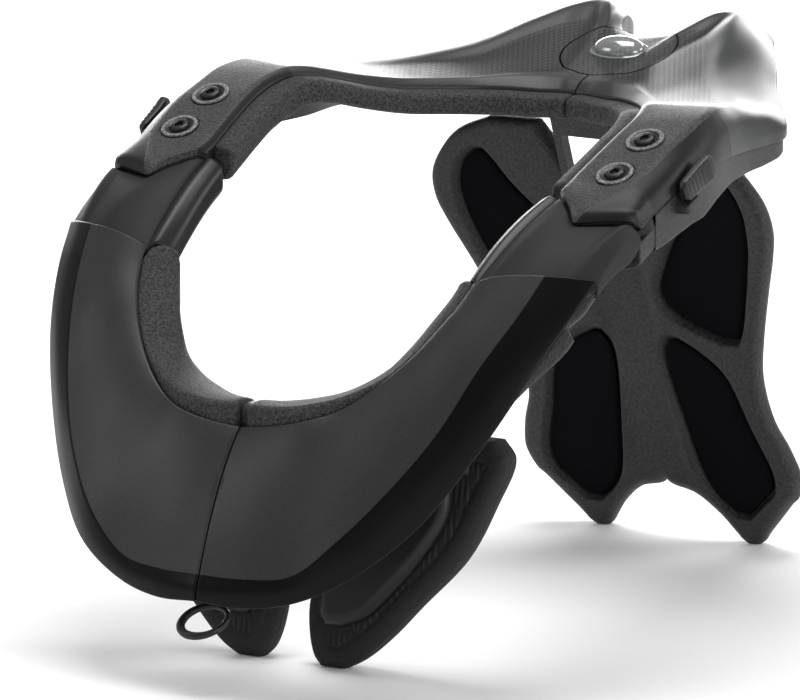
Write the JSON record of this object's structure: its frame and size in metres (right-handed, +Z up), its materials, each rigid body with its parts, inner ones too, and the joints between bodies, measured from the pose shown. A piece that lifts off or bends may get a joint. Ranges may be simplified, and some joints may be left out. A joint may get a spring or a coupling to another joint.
{
  "type": "neck brace",
  "caption": "Rigid sports neck collar with foam lining, padded chest flaps in front and an X-shaped back plate; it opens at the side and has sprung release levers.",
  "frame": {"origin": "middle of the outline box, on the floor under the chest pads and the tips of the back plate", "axes": "+X to the wearer's left, -Y to the wearer's front, +Z up"},
  "size_m": [0.2418, 0.3452, 0.204],
  "materials": {
    "satin_shell": "satin moulded plastic",
    "grain_plastic": "fine grained plastic with a woven sheen on the wings",
    "matte_frame": "matte",
    "foam": "speckled foam skin",
    "rubber": "smooth satin",
    "soft_plate": "soft matte",
    "insert_foam": "closed foam",
    "pad_cover": "soft matte with a mesh band",
    "washer_metal": "speckled satin",
    "screw_metal": "black coated",
    "dome_gloss": "glossy"
  },
  "bodies": {
    "rear_half": {"rear_shell_l": "grain_plastic", "rear_shell_r": "grain_plastic", "rear_frame_l": "matte_frame", "rear_frame_r": "matte_frame", "rear_pad_l": "foam", "rear_pad_r": "foam", "washer_front_l": "washer_metal", "washer_front_r": "washer_metal", "washer_rear_l": "washer_metal", "washer_rear_r": "washer_metal", "screw_front_l": "screw_metal", "screw_front_r": "screw_metal", "screw_rear_l": "screw_metal", "screw_rear_r": "screw_metal", "back_insert_upper_l": "insert_foam", "back_insert_upper_r": "insert_foam", "back_insert_lower_l": "insert_foam", "back_insert_lower_r": "insert_foam", "rear_disc": "grain_plastic", "emblem_dome": "dome_gloss", "back_plate": "soft_plate", "spine_bracket": "matte_frame"},
    "front_half": {"front_shell_l": "satin_shell", "front_shell_r": "satin_shell", "front_frame": "matte_frame", "front_pad_l": "foam", "front_pad_r": "foam", "side_arm_l": "grain_plastic", "side_arm_r": "grain_plastic", "side_pad_l": "rubber", "side_pad_r": "rubber", "chest_pad_l": "pad_cover", "chest_pad_r": "pad_cover", "chest_cap_l": "rubber", "chest_cap_r": "rubber", "strap_loop": "matte_frame"},
    "lever_l": {"release_lever_l": "rubber"},
    "lever_r": {"release_lever_r": "rubber"}
  },
  "joints": [
    {"name": "collar_opening", "type": "hinge", "parent": "rear_half", "child": "front_half", "pos_m": [-0.10789, -0.04595, 0.16082], "axis": [0, 0.4152, -0.9097], "range_deg": [0, 40]},
    {"name": "release_lever_left", "type": "hinge", "parent": "rear_half", "child": "lever_l", "pos_m": [0.11651, -0.02958, 0.1714], "axis": [0, 0.4152, -0.9097], "range_deg": [0, 25], "stiffness_Nm_per_rad": 0.03},
    {"name": "release_lever_right", "type": "hinge", "parent": "rear_half", "child": "lever_r", "pos_m": [-0.11651, -0.02958, 0.1714], "axis": [0, -0.4152, 0.9097], "range_deg": [0, 25], "stiffness_Nm_per_rad": 0.03}
  ]
}
